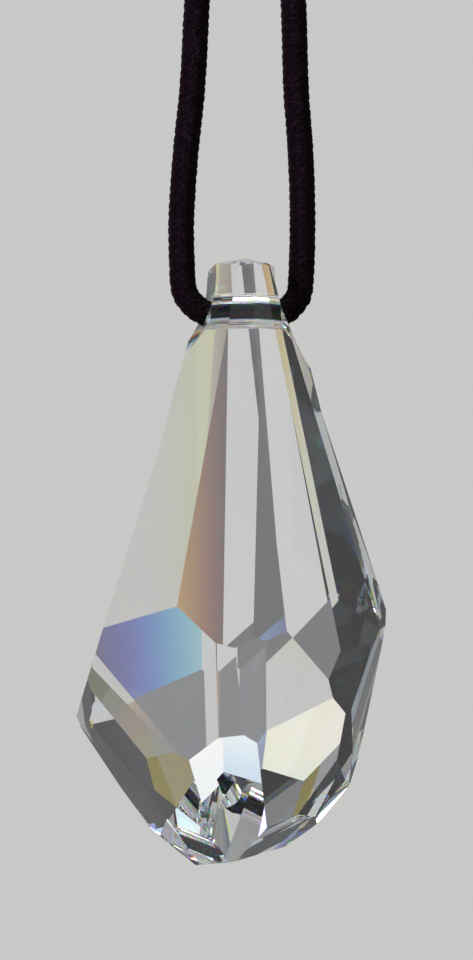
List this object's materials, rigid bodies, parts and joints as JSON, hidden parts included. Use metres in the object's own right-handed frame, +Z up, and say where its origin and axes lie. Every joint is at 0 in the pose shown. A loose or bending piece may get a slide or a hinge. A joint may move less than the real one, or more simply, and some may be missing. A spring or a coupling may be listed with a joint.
{
  "type": "crystal prism pendant",
  "caption": "Faceted drop of clear crystal glass with a scooped, cross-drilled neck, hung on a black braided cord that ends in a knot and a small eye.",
  "frame": {"origin": "where a hook bears, inside the top of the cord's small eye", "axes": "+Z up along the hanging axis, crystal below; +X to the right along the drilled hole; the front with its large lower facets faces -Y"},
  "size_m": [0.025, 0.0169, 0.1353],
  "materials": {
    "crystal": "clear polished crystal glass",
    "cord": "tightly braided waxed cotton, near black"
  },
  "bodies": {
    "root": {"crystal_drop": "crystal", "hanging_cord": "cord", "cord_knot": "cord", "cord_eye": "cord"}
  },
  "joints": []
}
